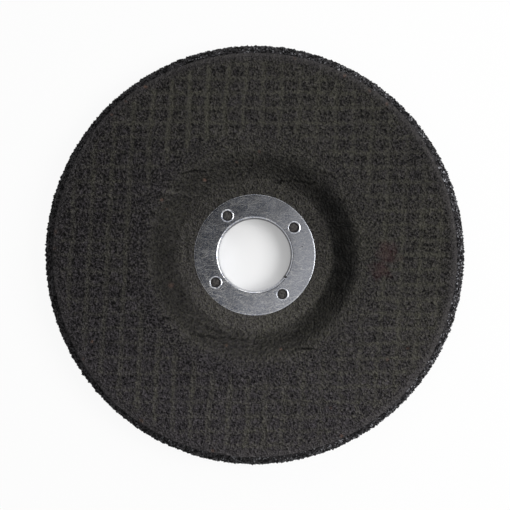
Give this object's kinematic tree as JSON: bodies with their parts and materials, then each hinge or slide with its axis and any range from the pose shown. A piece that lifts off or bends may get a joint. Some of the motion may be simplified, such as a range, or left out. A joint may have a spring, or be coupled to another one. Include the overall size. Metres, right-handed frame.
{
  "type": "grinding disc",
  "caption": "Round depressed-centre abrasive disc with a glass-cloth face and a flanged steel ring at its bore, for grinding metal.",
  "frame": {"origin": "on the bore's axis, at the level of the hub's back face, which the disc lies on", "axes": "+Z runs up the bore, out of the recess; +X and +Y lie across the disc, +X to the right and +Y up as seen from the recessed side"},
  "size_m": [0.127, 0.127, 0.011],
  "materials": {
    "abrasive": "coarse bonded grain, matt",
    "glass_cloth": "resin-soaked glass cloth, matt with a slight sheen",
    "zinc_steel": "zinc-coated sheet steel, lightly streaked"
  },
  "bodies": {
    "root": {"abrasive_body": "abrasive", "front_cloth": "glass_cloth", "centre_ring": "zinc_steel"}
  },
  "joints": []
}
